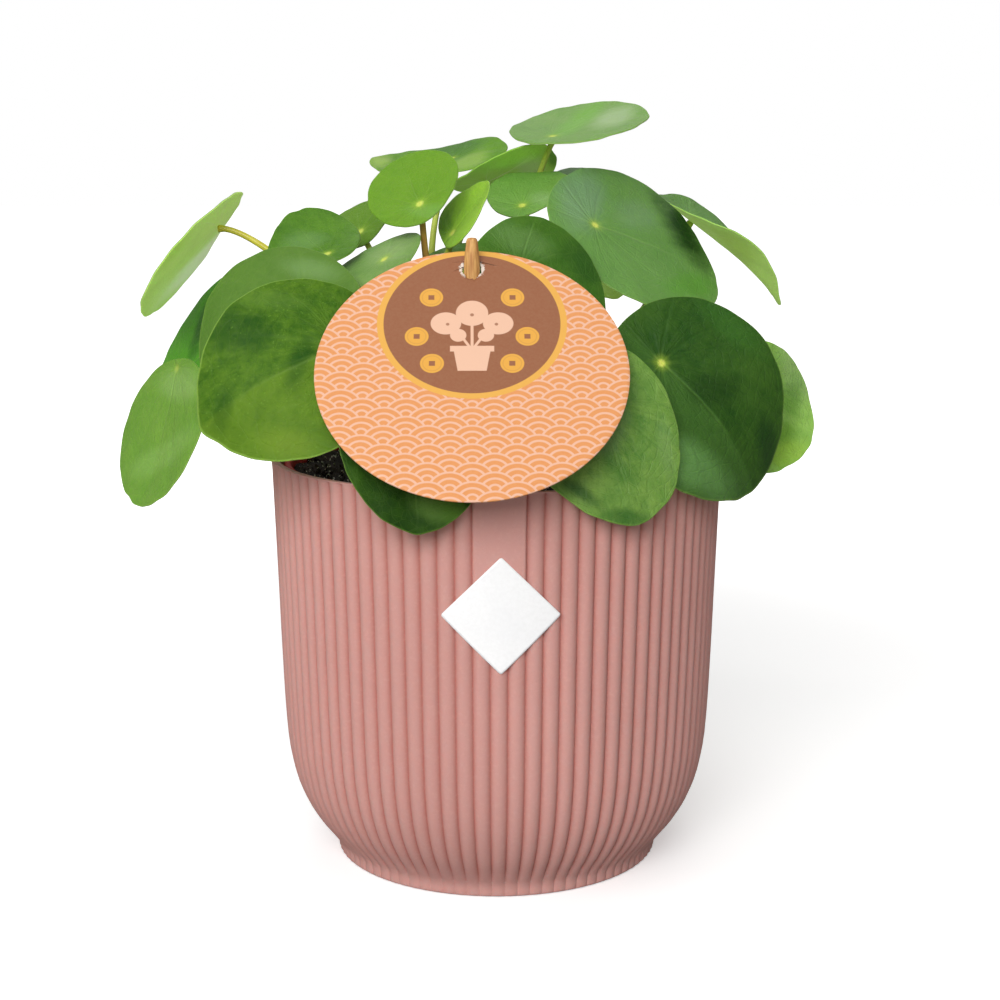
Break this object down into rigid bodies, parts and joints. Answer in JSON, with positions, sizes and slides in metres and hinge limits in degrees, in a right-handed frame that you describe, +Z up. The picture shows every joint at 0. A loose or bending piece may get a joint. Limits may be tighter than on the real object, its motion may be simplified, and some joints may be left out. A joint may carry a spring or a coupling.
{
  "type": "potted plant",
  "caption": "Small houseplant with round leaves on long petioles, in a fluted pot with a nursery pot inside, a label on the front and a round tag on a stick.",
  "frame": {"origin": "centre of the outer pot's underside, on the pot's axis", "axes": "+Z up along the pot's axis; -Y towards the front, where the label is; +X to the right seen from the front"},
  "size_m": [0.2157, 0.1809, 0.236],
  "materials": {
    "outer_pot": "matte dusty rose plastic",
    "nursery_pot": "thin dark terracotta-coloured plastic",
    "soil": "dark peat with white grains",
    "stem": "brown-green living stem",
    "leaf": "smooth waxy green leaf",
    "petiole": "smooth olive petiole",
    "card": "printed card, orange wave pattern, brown middle, gold ring",
    "stick": "bare light wood",
    "label": "plain white sticker"
  },
  "bodies": {
    "root": {"outer_pot": "outer_pot", "nursery_pot": "nursery_pot", "potting_soil": "soil", "main_stem": "stem", "pot_label": "label", "plant_tag": "card", "tag_stick": "stick", "leaf_blade_01": "leaf", "leaf_blade_02": "leaf", "leaf_blade_03": "leaf", "leaf_blade_04": "leaf", "leaf_blade_05": "leaf", "leaf_blade_06": "leaf", "leaf_blade_07": "leaf", "leaf_blade_08": "leaf", "leaf_blade_09": "leaf", "leaf_blade_10": "leaf", "leaf_blade_11": "leaf", "leaf_blade_12": "leaf", "leaf_blade_13": "leaf", "leaf_blade_14": "leaf", "leaf_blade_15": "leaf", "leaf_blade_16": "leaf", "leaf_blade_17": "leaf", "leaf_blade_18": "leaf", "leaf_blade_19": "leaf", "leaf_blade_20": "leaf", "leaf_blade_21": "leaf", "leaf_blade_22": "leaf", "leaf_blade_23": "leaf", "leaf_blade_24": "leaf", "leaf_blade_25": "leaf", "leaf_blade_26": "leaf", "petiole_01": "petiole", "petiole_02": "petiole", "petiole_03": "petiole", "petiole_04": "petiole", "petiole_05": "petiole", "petiole_06": "petiole", "petiole_07": "petiole", "petiole_08": "petiole", "petiole_09": "petiole", "petiole_10": "petiole", "petiole_11": "petiole", "petiole_12": "petiole", "petiole_13": "petiole", "petiole_14": "petiole", "petiole_15": "petiole", "petiole_16": "petiole", "petiole_17": "petiole", "petiole_18": "petiole", "petiole_19": "petiole", "petiole_20": "petiole", "petiole_21": "petiole", "petiole_22": "petiole", "petiole_23": "petiole", "petiole_24": "petiole", "petiole_25": "petiole", "petiole_26": "petiole"}
  },
  "joints": []
}
